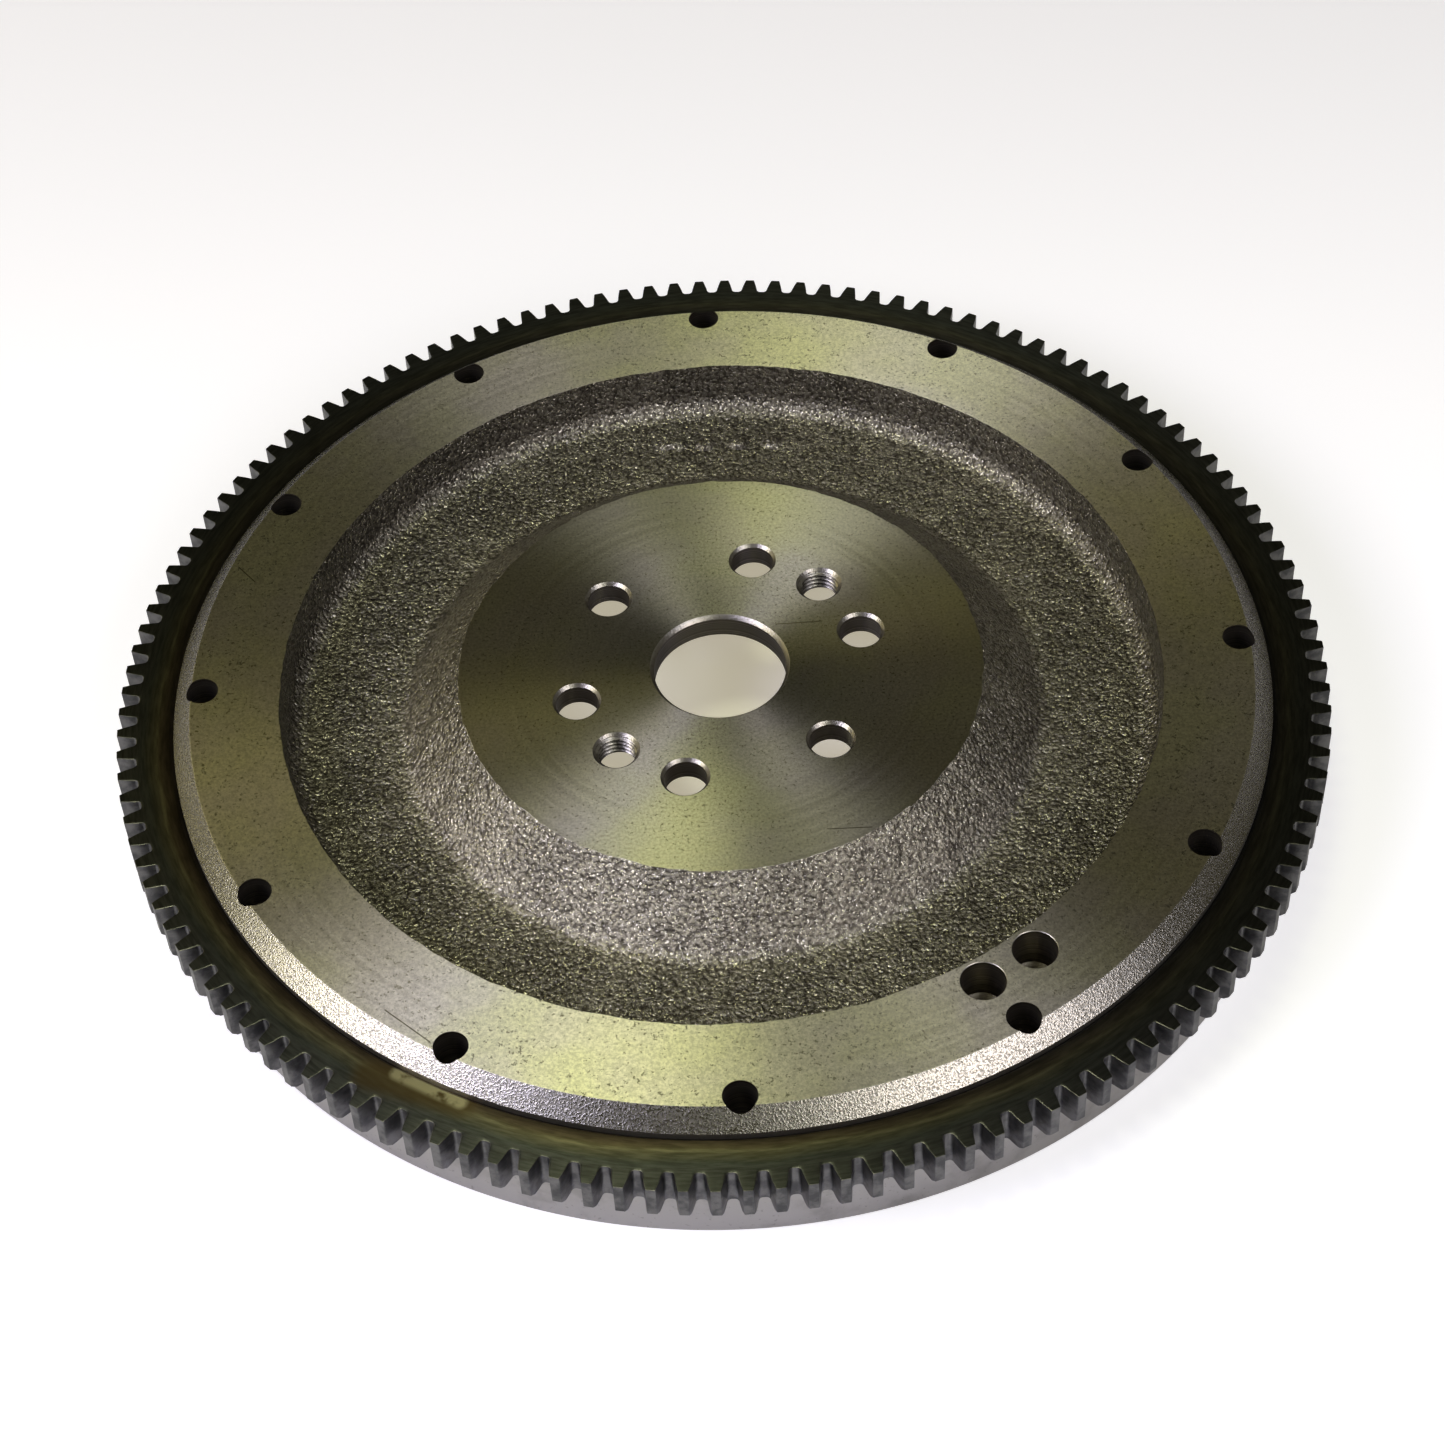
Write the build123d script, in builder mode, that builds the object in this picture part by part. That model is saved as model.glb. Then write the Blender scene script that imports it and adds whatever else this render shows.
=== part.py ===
"""Clutch flywheel of a small engine: a cast iron disc with a starter ring gear shrunk onto it.

The origin is the middle of the centre bore in the plane of the hub's crank face. +Z points to the
engine, and the clutch face is underneath, at negative Z. All sizes are in millimetres.
"""

import os
from math import acos, cos, hypot, pi, radians, sin, tan

from build123d import *

# ---------------------------------------------------------------- driving sizes: starter ring gear
module = 25.4 / 12  # 12 diametral pitch
tooth_count = 132
pressure_angle = 14.5
dedendum_share = 1.157  # dedendum in modules
tooth_phase = 0.3  # degrees from +X to the middle of the first tooth
root_fillet = 0.9
ring_width = 10.0
ring_bore_chamfer = 0.9
tooth_end_bevel = 1.0  # on the clutch side of the teeth
ring_backing = 8.85  # from the ring's bore to the roots of its teeth
shrink_clearance = 0.0  # the shrink fit is drawn at its common fitted diameter

# ---------------------------------------------------------------- driving sizes: rim
rim_height = 29.6  # from the clutch face to the engine-side rim face
rim_width = 25.3  # from the ring gear's seat in to the web
rim_chamfer_width = 4.4
rim_chamfer_height = 4.0
ring_drop = 4.8  # from the rim face down to the ring gear
shoulder_height = 7.4  # how far the clutch-side land stands out past the ring gear's seat
edge_break = 0.5

# ---------------------------------------------------------------- driving sizes: web and hub
web_depth = 14.2  # from the rim face down to the web's floor
wall_draft = 2.0  # degrees
web_fillet = 3.0
hub_set_back = 0.4  # the crank face lies this far below the rim face
hub_diameter = 122.8
cone_run = 14.2  # how far the cast cone spreads from the hub's edge to the web
hub_plate = 6.2
cone_wall = 9.0
bore_diameter = 31.0
bore_chamfer = 0.9

# ---------------------------------------------------------------- driving sizes: clutch side
friction_inner_diameter = 144.0
friction_margin = 6.5  # from the cover holes' circle in to the friction face
relief_width = 2.0
relief_depth = 0.8
recess_fillet = 3.0

# ---------------------------------------------------------------- driving sizes: holes
crank_circle_diameter = 69.5
crank_hole_diameter = 10.0
crank_hole_break = 0.7
crank_first_angle = 15.0
crank_spacing = 60.0
crank_odd_shift = 3.0  # one hole is moved round, so that the wheel fits its crankshaft one way only
crank_odd_index = 2
puller_hole_diameter = 8.65  # tapping size of M10 x 1.25
puller_mouth_diameter = 11.0
puller_angles = (45.0, 225.0)
cover_inset = 6.9  # from the ring gear's seat in to the cover holes' circle
cover_hole_diameter = 7.7
cover_hole_count = 12
cover_hole_break = 0.6
balance_inset = 6.0  # from the rim's inner edge out to the balance drillings
balance_hole_diameter = 10.0
balance_hole_depth = 11.0
balance_angles = (-53.5, -60.9)
drill_point_angle = 118.0

# ---------------------------------------------------------------- driving sizes: foundry tally
tally_height = 0.7
tally_angle = 88.0
tally_pitch = 8.5
tally_bar_length = 7.0
tally_bar_width = 2.6
tally_pip_diameter = 4.0
tally_pips = 3

# ---------------------------------------------------------------- heights above the crank face
rim_face = hub_set_back
clutch_face = rim_face - rim_height
web_floor = rim_face - web_depth
ring_top = rim_face - ring_drop
ring_bottom = ring_top - ring_width
hub_underside = -hub_plate

# ---------------------------------------------------------------- radii that follow
pitch_radius = module * tooth_count / 2
tip_radius = pitch_radius + module
root_radius = pitch_radius - dedendum_share * module
seat_radius = root_radius - ring_backing
ring_bore = seat_radius + shrink_clearance
disc_radius = seat_radius + shoulder_height
rim_inner_radius = seat_radius - rim_width
wall_foot = rim_inner_radius - web_depth * tan(radians(wall_draft))
hub_radius = hub_diameter / 2
cone_foot_radius = hub_radius + cone_run
bore_radius = bore_diameter / 2
crank_circle = crank_circle_diameter / 2
cover_circle = seat_radius - cover_inset
balance_circle = rim_inner_radius + balance_inset
friction_inner_radius = friction_inner_diameter / 2
friction_outer_radius = cover_circle - friction_margin
tally_radius = (cone_foot_radius + wall_foot) / 2

os.makedirs("parts", exist_ok=True)


def involute(angle):
    """Involute function of an angle in radians."""
    return tan(angle) - angle


def space_point(radius):
    """Point at this radius on the upper flank of the tooth space that is centred on +X."""
    base_radius = pitch_radius * cos(radians(pressure_angle))
    tooth_half = pi / (2 * tooth_count) + involute(radians(pressure_angle))
    space_half = pi / tooth_count - tooth_half + involute(acos(base_radius / radius))
    return (radius * cos(space_half), radius * sin(space_half))


def mirrored(point):
    """The same point below the X axis."""
    return (point[0], -point[1])


def has_radius(edge, radius):
    """Whether an edge is an arc or circle of this radius."""
    return edge.geom_type == GeomType.CIRCLE and abs(edge.radius - radius) < 1e-6


def on_circle(radius, angle, height=0.0):
    """Point on a circle about the bore's axis, by its angle in degrees."""
    return (radius * cos(radians(angle)), radius * sin(radians(angle)), height)


# ---------------------------------------------------------------- ring gear
# The flanks run a little past the tip circle so that each cut leaves the blank cleanly.
space_mouth = tip_radius + module / 4
flank_root = space_point(root_radius)
flank_middle = space_point(pitch_radius)
flank_mouth = space_point(space_mouth)

with BuildSketch() as tooth_space:
    with BuildLine():
        ThreePointArc(flank_root, flank_middle, flank_mouth)
        Line(flank_mouth, mirrored(flank_mouth))
        ThreePointArc(mirrored(flank_mouth), mirrored(flank_middle), mirrored(flank_root))
        ThreePointArc(mirrored(flank_root), (root_radius, 0), flank_root)
    make_face()
    fillet(tooth_space.vertices().group_by(Axis.X)[0], radius=root_fillet)

with BuildPart() as ring_gear:
    with BuildSketch(Plane.XY.offset(ring_bottom)):
        Circle(tip_radius)
        with PolarLocations(0, tooth_count, start_angle=tooth_phase + 180 / tooth_count):
            add(tooth_space.sketch, mode=Mode.SUBTRACT)
        Circle(ring_bore, mode=Mode.SUBTRACT)
    extrude(amount=ring_width)
    bore_rims = ring_gear.edges().filter_by(lambda edge: has_radius(edge, ring_bore))
    chamfer(bore_rims.sort_by(Axis.Z)[-1], length=ring_bore_chamfer)
    # The lead-in bevel is turned off the clutch-side ends of the teeth.
    with BuildSketch(Plane.XZ):
        with BuildLine():
            Polyline(
                (tip_radius - tooth_end_bevel, ring_bottom),
                (tip_radius + tooth_end_bevel, ring_bottom),
                (tip_radius + tooth_end_bevel, ring_bottom + 2 * tooth_end_bevel),
                close=True,
            )
        make_face()
    revolve(axis=Axis.Z, mode=Mode.SUBTRACT)

# ---------------------------------------------------------------- flywheel disc
# The cone's two faces are parallel, cone_wall apart, so the recess under it starts where its own
# slope meets the hub's underside.
cone_drop = -web_floor
cone_length = hypot(cone_run, cone_drop)
slope = cone_run / cone_drop
recess_radius = hub_radius - cone_wall * cone_length / cone_drop - hub_underside * slope
recess_corner = hub_underside - (friction_inner_radius - recess_radius) / slope
relief_outer = friction_outer_radius + relief_width

with BuildPart() as flywheel_disc:
    with BuildSketch(Plane.XZ) as section:
        with BuildLine():
            Polyline(
                (bore_radius, hub_underside),
                (recess_radius, hub_underside),
                (friction_inner_radius, recess_corner),
                (friction_inner_radius, clutch_face),
                (friction_outer_radius, clutch_face),
                (friction_outer_radius, clutch_face + relief_depth),
                (relief_outer, clutch_face + relief_depth),
                (relief_outer, clutch_face),
                (disc_radius - edge_break, clutch_face),
                (disc_radius, clutch_face + edge_break),
                (disc_radius, ring_bottom),
                (seat_radius, ring_bottom),
                (seat_radius, rim_face - rim_chamfer_height),
                (seat_radius - rim_chamfer_width, rim_face),
                (rim_inner_radius, rim_face),
                (wall_foot, web_floor),
                (cone_foot_radius, web_floor),
                (hub_radius, 0),
                (bore_radius, 0),
                close=True,
            )
        make_face()
        fillet(section.vertices().filter_by_position(Axis.X, wall_foot, wall_foot), radius=web_fillet)
        fillet(
            section.vertices().filter_by_position(Axis.X, cone_foot_radius, cone_foot_radius),
            radius=web_fillet,
        )
        fillet(
            section.vertices().filter_by_position(Axis.X, recess_radius, recess_radius),
            radius=recess_fillet,
        )
    revolve(axis=Axis.Z)

    # Foundry tally: a bar and round pips standing on the web's floor.
    with BuildSketch(Plane.XY.offset(web_floor)):
        with Locations(Location(on_circle(tally_radius, tally_angle), tally_angle - 90)):
            with Locations((-tally_pips * tally_pitch / 2, 0)):
                SlotOverall(tally_bar_length, tally_bar_width)
            with Locations((tally_pitch / 2, 0)):
                with GridLocations(tally_pitch, 1, tally_pips, 1):
                    Circle(tally_pip_diameter / 2)
    extrude(amount=tally_height)

    # Crank bolt holes, countersunk on the crank face.
    crank_angles = [crank_first_angle + crank_spacing * index for index in range(6)]
    crank_angles[crank_odd_index] += crank_odd_shift
    with Locations([on_circle(crank_circle, angle) for angle in crank_angles]):
        CounterSinkHole(
            radius=crank_hole_diameter / 2,
            counter_sink_radius=crank_hole_diameter / 2 + crank_hole_break,
            counter_sink_angle=90,
        )
    # Tapped holes for the puller's bolts, on the same circle.
    with Locations([on_circle(crank_circle, angle) for angle in puller_angles]):
        CounterSinkHole(
            radius=puller_hole_diameter / 2,
            counter_sink_radius=puller_mouth_diameter / 2,
            counter_sink_angle=90,
        )
    # Clutch cover holes right through the rim; each breaks into the rim's chamfer.
    with Locations(Plane.XY.offset(rim_face)):
        with PolarLocations(cover_circle, cover_hole_count):
            Hole(radius=cover_hole_diameter / 2)
    # Balance drillings with a drill point.
    drill_point = balance_hole_diameter / 2 / tan(radians(drill_point_angle / 2))
    with Locations([on_circle(balance_circle, angle, rim_face) for angle in balance_angles]):
        Hole(radius=balance_hole_diameter / 2, depth=balance_hole_depth)
    drill_floor = rim_face - balance_hole_depth
    with Locations([on_circle(balance_circle, angle, drill_floor) for angle in balance_angles]):
        Cone(
            bottom_radius=0,
            top_radius=balance_hole_diameter / 2,
            height=drill_point,
            align=(Align.CENTER, Align.CENTER, Align.MAX),
            mode=Mode.SUBTRACT,
        )

    # Edge breaks: the bore's crank-side mouth, and the cover holes' clutch-side mouths.
    bore_mouths = flywheel_disc.edges().filter_by(lambda edge: has_radius(edge, bore_radius))
    chamfer(bore_mouths.sort_by(Axis.Z)[-1], length=bore_chamfer)
    cover_mouths = flywheel_disc.edges().filter_by(lambda edge: has_radius(edge, cover_hole_diameter / 2))
    chamfer(cover_mouths.group_by(Axis.Z)[0], length=cover_hole_break)

# ---------------------------------------------------------------- export
flywheel_disc.part.label = "flywheel_disc"
export_step(flywheel_disc.part, "parts/flywheel_disc.step")
ring_gear.part.label = "ring_gear"
export_step(ring_gear.part, "parts/ring_gear.step")
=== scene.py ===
"""Looks of a small engine's clutch flywheel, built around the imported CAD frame.

The origin is the middle of the centre bore in the plane of the hub's crank face, +Z points to the
engine, and the wheel lies on its clutch face. Sizes in this file are in millimetres, and a mesh is
scaled to metres when it is made.
"""

import logging
from dataclasses import dataclass, field
from enum import Enum, IntEnum
from itertools import product
from math import radians

import bpy
import numpy as np
from mathutils import Matrix, Vector

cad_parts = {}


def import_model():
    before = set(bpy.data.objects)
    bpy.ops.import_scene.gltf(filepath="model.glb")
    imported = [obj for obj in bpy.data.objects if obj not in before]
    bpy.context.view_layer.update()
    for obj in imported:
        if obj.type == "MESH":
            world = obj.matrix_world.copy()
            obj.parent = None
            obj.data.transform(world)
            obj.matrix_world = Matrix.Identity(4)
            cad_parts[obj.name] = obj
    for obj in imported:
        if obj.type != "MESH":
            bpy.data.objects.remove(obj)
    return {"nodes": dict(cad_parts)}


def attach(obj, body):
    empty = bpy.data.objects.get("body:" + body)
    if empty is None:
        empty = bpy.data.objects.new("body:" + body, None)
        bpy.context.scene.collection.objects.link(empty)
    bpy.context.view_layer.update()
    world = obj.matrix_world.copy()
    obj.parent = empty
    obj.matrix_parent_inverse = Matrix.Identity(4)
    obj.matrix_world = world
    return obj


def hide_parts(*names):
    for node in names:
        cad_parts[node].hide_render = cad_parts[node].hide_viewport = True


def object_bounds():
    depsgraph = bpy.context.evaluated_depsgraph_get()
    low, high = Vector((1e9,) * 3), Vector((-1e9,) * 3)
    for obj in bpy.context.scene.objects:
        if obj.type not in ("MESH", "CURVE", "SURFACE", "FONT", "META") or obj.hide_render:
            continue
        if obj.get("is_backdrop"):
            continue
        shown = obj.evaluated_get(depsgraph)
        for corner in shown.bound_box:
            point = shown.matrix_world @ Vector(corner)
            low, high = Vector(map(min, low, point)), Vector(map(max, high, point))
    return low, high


log = logging.getLogger("flywheel")

MM = 0.001
Array = np.ndarray
Colour = tuple[float, float, float]
Feed = object  # a socket or a plain value for a shader input
Socket = bpy.types.NodeSocket
Object = bpy.types.Object


class Slot(Enum):
    """Material slots of the record."""

    CAST_IRON = "cast_iron"
    RING_STEEL = "ring_steel"


class DiscZone(IntEnum):
    """Surfaces of the disc, by their material index, in the order of its finishes."""

    TURNED = 0
    CHAMFER = 1
    CAST_SKIN = 2
    LAND = 3
    DRILLED = 4
    BRIGHT_EDGE = 5
    THREAD = 6


class RingZone(IntEnum):
    """Surfaces of the ring gear, by their material index."""

    FACE = 0
    TEETH = 1


# -------- mesh helpers


def linked(name: str, data: bpy.types.ID) -> Object:
    """Make an object of this mesh, light or camera, and link it to the scene."""
    made = bpy.data.objects.new(name, data)
    bpy.context.scene.collection.objects.link(made)
    return made


def mesh_object(name: str, points: Array, faces: Array) -> Object:
    """Make a mesh object at the origin from points in millimetres.

    Args:
        name: Name of the object and its mesh.
        points: N x 3 array of points.
        faces: M x 4 array of point numbers, each face anticlockwise from outside.

    Returns:
        The new object, linked to the scene.
    """
    mesh = bpy.data.meshes.new(name)
    mesh.from_pydata(points * MM, [], faces)
    mesh.validate()
    return linked(name, mesh)


def loop_faces(rows: int, columns: int) -> Array:
    """Quads of a grid that closes on itself both ways, such as a ring's skin.

    Point number row * columns + column is joined to its neighbours at row + 1 and column + 1, and
    the last row and column join the first ones.

    Args:
        rows: Number of points along the section.
        columns: Number of points around the axis.

    Returns:
        An array of rows * columns faces.
    """
    row, column = np.meshgrid(np.arange(rows), np.arange(columns), indexing="ij")
    next_row, next_column = (row + 1) % rows, (column + 1) % columns
    quads = (row * columns + column, row * columns + next_column,
             next_row * columns + next_column, next_row * columns + column)
    return np.stack(quads, axis=-1).reshape(-1, 4)


def value_noise(points: Array, cell: float, seed: int) -> Array:
    """Smooth noise between -1 and 1.

    Random heights stand on a cubic lattice, and each point blends the eight heights around it
    with the weights s * s * (3 - 2 * s) of its place s in the cell.

    Args:
        points: N x 3 array of points.
        cell: Size of a lattice cell.
        seed: Number that sets the random heights.

    Returns:
        N heights.
    """
    side = 64
    heights = np.random.default_rng(seed).uniform(-1.0, 1.0, (side, side, side))
    place = points / cell
    base = np.floor(place).astype(int)
    share = place - base
    share = share * share * (3 - 2 * share)
    total = np.zeros(len(points))
    for corner in product((0, 1), repeat=3):
        index = (base + corner) % side
        weight = np.where(corner, share, 1 - share).prod(axis=1)
        total += weight * heights[index[:, 0], index[:, 1], index[:, 2]]
    return total


def smooth_step(low: float, high: float, value: Array) -> Array:
    """Rise from 0 at low to 1 at high along s * s * (3 - 2 * s)."""
    share = np.clip((value - low) / (high - low), 0.0, 1.0)
    return share * share * (3 - 2 * share)


def on_circles(radius: Array, angle: Array) -> Array:
    """Points at each distance and angle from the axis, with x and y along the last axis."""
    return np.stack([radius * np.cos(angle), radius * np.sin(angle)], axis=-1)


def right_of(along: Array) -> Array:
    """Unit vectors a quarter turn clockwise from each of N directions."""
    along = along / np.linalg.norm(along, axis=1)[:, None]
    return np.stack([along[:, 1], -along[:, 0]], axis=1)


def turned_points(radius: Array, height: Array, centre: Array = np.zeros(2)) -> Array:
    """Points of a grid whose columns go evenly round an axis at the centre.

    Args:
        radius: Rows x columns array of distances from the axis.
        height: Array of heights of the same shape.
        centre: Where the axis stands.

    Returns:
        N x 3 array, row by row.
    """
    angle = np.arange(radius.shape[1]) * 2 * np.pi / radius.shape[1]
    flat = centre + on_circles(radius, angle)
    return np.concatenate([flat, height[..., None]], axis=-1).reshape(-1, 3)


def rounded_path(corners: list[tuple[float, float, float]], steps: int = 3) -> Array:
    """Closed section with a rounding at each corner.

    At a corner with rounding r the path follows the arc that touches both sides: its centre lies
    on the corner's bisector at r / sin(half angle), and its ends lie r / tan(half angle) away.

    Args:
        corners: Radius, height and rounding of each corner, in order.
        steps: Pieces in a small rounding. A rounding of over 1 mm gets more.

    Returns:
        N x 2 array of radius and height.
    """
    place = np.array([corner[:2] for corner in corners])
    rounds = np.array([corner[2] for corner in corners])
    back = np.roll(place, 1, axis=0) - place
    ahead = np.roll(place, -1, axis=0) - place
    back /= np.linalg.norm(back, axis=1)[:, None]
    ahead /= np.linalg.norm(ahead, axis=1)[:, None]
    path = []
    for point, one, two, radius in zip(place, back, ahead, rounds):
        if radius <= 0:
            path.append(point[None, :])
            continue
        half = np.arccos(np.clip(one @ two, -1, 1)) / 2
        middle = (one + two) / np.linalg.norm(one + two)
        centre = point + middle * radius / np.sin(half)
        first = point + one * radius / np.tan(half) - centre
        last = point + two * radius / np.tan(half) - centre
        count = steps if radius < 1 else 4 * steps
        share = np.linspace(0, 1, count + 1)[:, None]
        turn = np.arccos(np.clip(first @ last / radius**2, -1, 1))
        arc = (np.sin((1 - share) * turn) * first + np.sin(share * turn) * last) / np.sin(turn)
        path.append(centre + arc)
    return np.concatenate(path)


def subdivided(path: Array, step: Array) -> Array:
    """Closed path with extra points, so that no piece is longer than its own step.

    Args:
        path: N x 2 array of points.
        step: Longest piece allowed after each point.

    Returns:
        M x 2 array that holds every point of the path.
    """
    following = np.roll(path, -1, axis=0)
    length = np.linalg.norm(following - path, axis=1)
    count = np.maximum(1, np.ceil(length / step)).astype(int)
    owner = np.repeat(np.arange(len(path)), count)
    share = np.arange(count.sum()) - np.repeat(np.cumsum(count) - count, count)
    share = (share / count[owner])[:, None]
    return path[owner] * (1 - share) + following[owner] * share


def turned_solid(name: str, section: Array, columns: int, centre: Array,
                 radius: Array | None = None) -> Object:
    """Closed solid turned from an open section, capped at both ends.

    Point (i, j) lies at section radius i and height i, turned by j steps about the centre. Where
    radius is given, it replaces the section's radius point by point.

    Args:
        name: Name of the object.
        section: N x 2 array of radius and height, from the bottom up.
        columns: Points around the axis.
        centre: Where the axis stands.
        radius: N x columns array of radii.

    Returns:
        The new object.
    """
    rows = len(section)
    far = np.repeat(section[:, :1], columns, axis=1) if radius is None else radius
    points = turned_points(far, np.repeat(section[:, 1:], columns, axis=1), centre)
    walls = loop_faces(rows, columns)[: (rows - 1) * columns].tolist()
    caps = [np.arange(columns)[::-1].tolist(), (np.arange(columns) + (rows - 1) * columns).tolist()]
    return mesh_object(name, points, walls + caps)


def smooth_and_weighted(piece: Object, sharp_degrees: float) -> None:
    """Shade a piece smooth, keep its sharp edges, and weigh its normals by face area."""
    piece.data.shade_smooth()
    piece.data.set_sharp_from_angle(angle=radians(sharp_degrees))
    weighted = piece.modifiers.new("face_weighted", "WEIGHTED_NORMAL")
    weighted.keep_sharp = True
    weighted.weight = 50


# -------- shader helpers


class Graph:
    """One material's node tree, with a short call for each kind of node."""

    def __init__(self, name: str) -> None:
        """Start an empty material."""
        self.material = bpy.data.materials.new(name)
        self.material.use_nodes = True
        self.tree = self.material.node_tree
        self.tree.nodes.clear()

    def node(self, kind: str, feeds: dict | None = None, **settings: object) -> bpy.types.Node:
        """Add a node.

        Args:
            kind: Blender's name for the node type.
            feeds: A socket or a value for each input, by the input's name or number.
            settings: Properties of the node.

        Returns:
            The new node.
        """
        made = self.tree.nodes.new(kind)
        for key, value in settings.items():
            setattr(made, key, value)
        for key, value in (feeds or {}).items():
            if isinstance(value, Socket):
                self.tree.links.new(value, made.inputs[key])
            elif isinstance(value, tuple) and len(value) == 3 and made.inputs[key].type == "RGBA":
                made.inputs[key].default_value = (*value, 1.0)
            else:
                made.inputs[key].default_value = value
        return made

    def position(self) -> Socket:
        """Place on the object, in millimetres."""
        return self.shade(self.node("ShaderNodeTexCoord").outputs["Object"], 1 / MM)

    def axes(self, vector: Feed) -> list[Socket]:
        """X, Y and Z of a vector."""
        return list(self.node("ShaderNodeSeparateXYZ", {0: vector}).outputs)

    def math(self, operation: str, *values: Feed, clamp: bool = False) -> Socket:
        """Result of a Math node."""
        return self.node("ShaderNodeMath", dict(enumerate(values)), operation=operation,
                         use_clamp=clamp).outputs[0]

    def vector(self, operation: str, *values: Feed, output: str = "Vector") -> Socket:
        """Result of a Vector Math node."""
        return self.node("ShaderNodeVectorMath", dict(enumerate(values)),
                         operation=operation).outputs[output]

    def radius(self, place: Feed) -> Socket:
        """Distance from the wheel's axis."""
        flat = self.vector("MULTIPLY", place, (1.0, 1.0, 0.0))
        return self.vector("LENGTH", flat, output="Value")

    def outward(self, place: Feed) -> Socket:
        """Direction away from the wheel's axis."""
        return self.vector("NORMALIZE", self.vector("MULTIPLY", place, (1.0, 1.0, 0.0)))

    def noise(self, place: Feed, scale: float, detail: float = 2.0, roughness: float = 0.5,
              output: str = "Fac") -> Socket:
        """Noise over a place, with this many cells in a millimetre."""
        feeds = {"Vector": place, "Scale": scale, "Detail": detail, "Roughness": roughness}
        return self.node("ShaderNodeTexNoise", feeds).outputs[output]

    def line_noise(self, value: Feed, scale: float, detail: float = 2.0) -> Socket:
        """Noise over one number, such as the distance from the axis."""
        feeds = {"W": value, "Scale": scale, "Detail": detail}
        return self.node("ShaderNodeTexNoise", feeds, noise_dimensions="1D").outputs["Fac"]

    def streaks(self, place: Feed, around: float, across: float,
                detail: float = 2.0) -> Socket:
        """Noise drawn out along circles about the axis.

        Its place is the direction from the axis times around, with the radius times across as
        its height, so it has no seam.
        """
        height = self.math("MULTIPLY", self.radius(place), across)
        lift = self.node("ShaderNodeCombineXYZ", {2: height}).outputs[0]
        spot = self.vector("MULTIPLY_ADD", self.outward(place), (around, around, 0.0), lift)
        return self.noise(spot, 1.0, detail, 0.6)

    def grains(self, place: Feed, scale: float) -> Socket:
        """Distance from the middle of the nearest grain, with this many grains in a millimetre."""
        feeds = {"Vector": place, "Scale": scale, "Smoothness": 0.35}
        return self.node("ShaderNodeTexVoronoi", feeds, feature="SMOOTH_F1").outputs["Distance"]

    def shade(self, colour: Feed, factor: Feed) -> Socket:
        """Colour or vector times a number."""
        return self.node("ShaderNodeVectorMath", {0: colour, "Scale": factor},
                         operation="SCALE").outputs[0]

    def scratch(self, place: Feed, start: tuple[float, float], end: tuple[float, float],
                width: float) -> Socket:
        """How far a place lies in a scratch, from 0 to 1.

        The distance from the segment is that from start + t * (end - start), where t is the
        place's share of the way along the segment, held between 0 and 1.
        """
        run = (end[0] - start[0], end[1] - start[1], 0.0)
        length_squared = run[0] ** 2 + run[1] ** 2
        flat = self.vector("MULTIPLY", place, (1.0, 1.0, 0.0))
        offset = self.vector("SUBTRACT", flat, (*start, 0.0))
        dot = self.vector("DOT_PRODUCT", offset, run, output="Value")
        share = self.math("DIVIDE", dot, length_squared, clamp=True)
        distance = self.vector("DISTANCE", offset, self.shade(run, share), output="Value")
        return self.between(distance, width * 0.3, width, 1.0, 0.0)

    def between(self, value: Feed, low: float, high: float, first: float = 0.0,
                last: float = 1.0) -> Socket:
        """Smooth change from first to last as a value goes from low to high."""
        feeds = {"Value": value, "From Min": low, "From Max": high, "To Min": first, "To Max": last}
        return self.node("ShaderNodeMapRange", feeds, interpolation_type="SMOOTHSTEP").outputs[0]

    def mix(self, share: Feed, first: Feed, second: Feed) -> Socket:
        """Blend of two colours."""
        feeds = {0: share, 6: first, 7: second}
        return self.node("ShaderNodeMix", feeds, data_type="RGBA").outputs[2]

    def ramp(self, value: Feed, stops: list[tuple[float, Colour]]) -> Socket:
        """Colour ramp over a value from 0 to 1."""
        made = self.node("ShaderNodeValToRGB", {0: value})
        elements = made.color_ramp.elements  # a new ramp has two
        while len(elements) < len(stops):
            elements.new(0.5)
        for element, (place, colour) in zip(elements, stops):
            element.position = place
            element.color = (*colour, 1.0)
        return made.outputs[0]

    def bump(self, height: Feed, strength: float, distance: float,
             normal: Feed | None = None) -> Socket:
        """Normal that a height gives, with its distance in millimetres."""
        feeds = {"Height": height, "Strength": strength, "Distance": distance * MM}
        if normal is not None:
            feeds["Normal"] = normal
        return self.node("ShaderNodeBump", feeds).outputs[0]

    def finish(self, feeds: dict) -> bpy.types.Material:
        """End the tree with a Principled shader.

        Args:
            feeds: A socket or a value for each of the shader's inputs.

        Returns:
            The material.
        """
        shader = self.node("ShaderNodeBsdfPrincipled", feeds)
        self.node("ShaderNodeOutputMaterial", {"Surface": shader.outputs[0]})
        return self.material


# -------- finishes


class Finish:
    """A metal finish. Its subclasses are frozen dataclasses with a name."""

    name: str

    def feeds(self, g: Graph, place: Feed) -> dict:
        """Inputs of the metal's shader, over a place on the object in millimetres."""
        raise NotImplementedError

    def build(self) -> bpy.types.Material:
        """Make the material."""
        g = Graph(self.name)
        return g.finish({"Metallic": 1.0, **self.feeds(g, g.position())})


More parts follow.
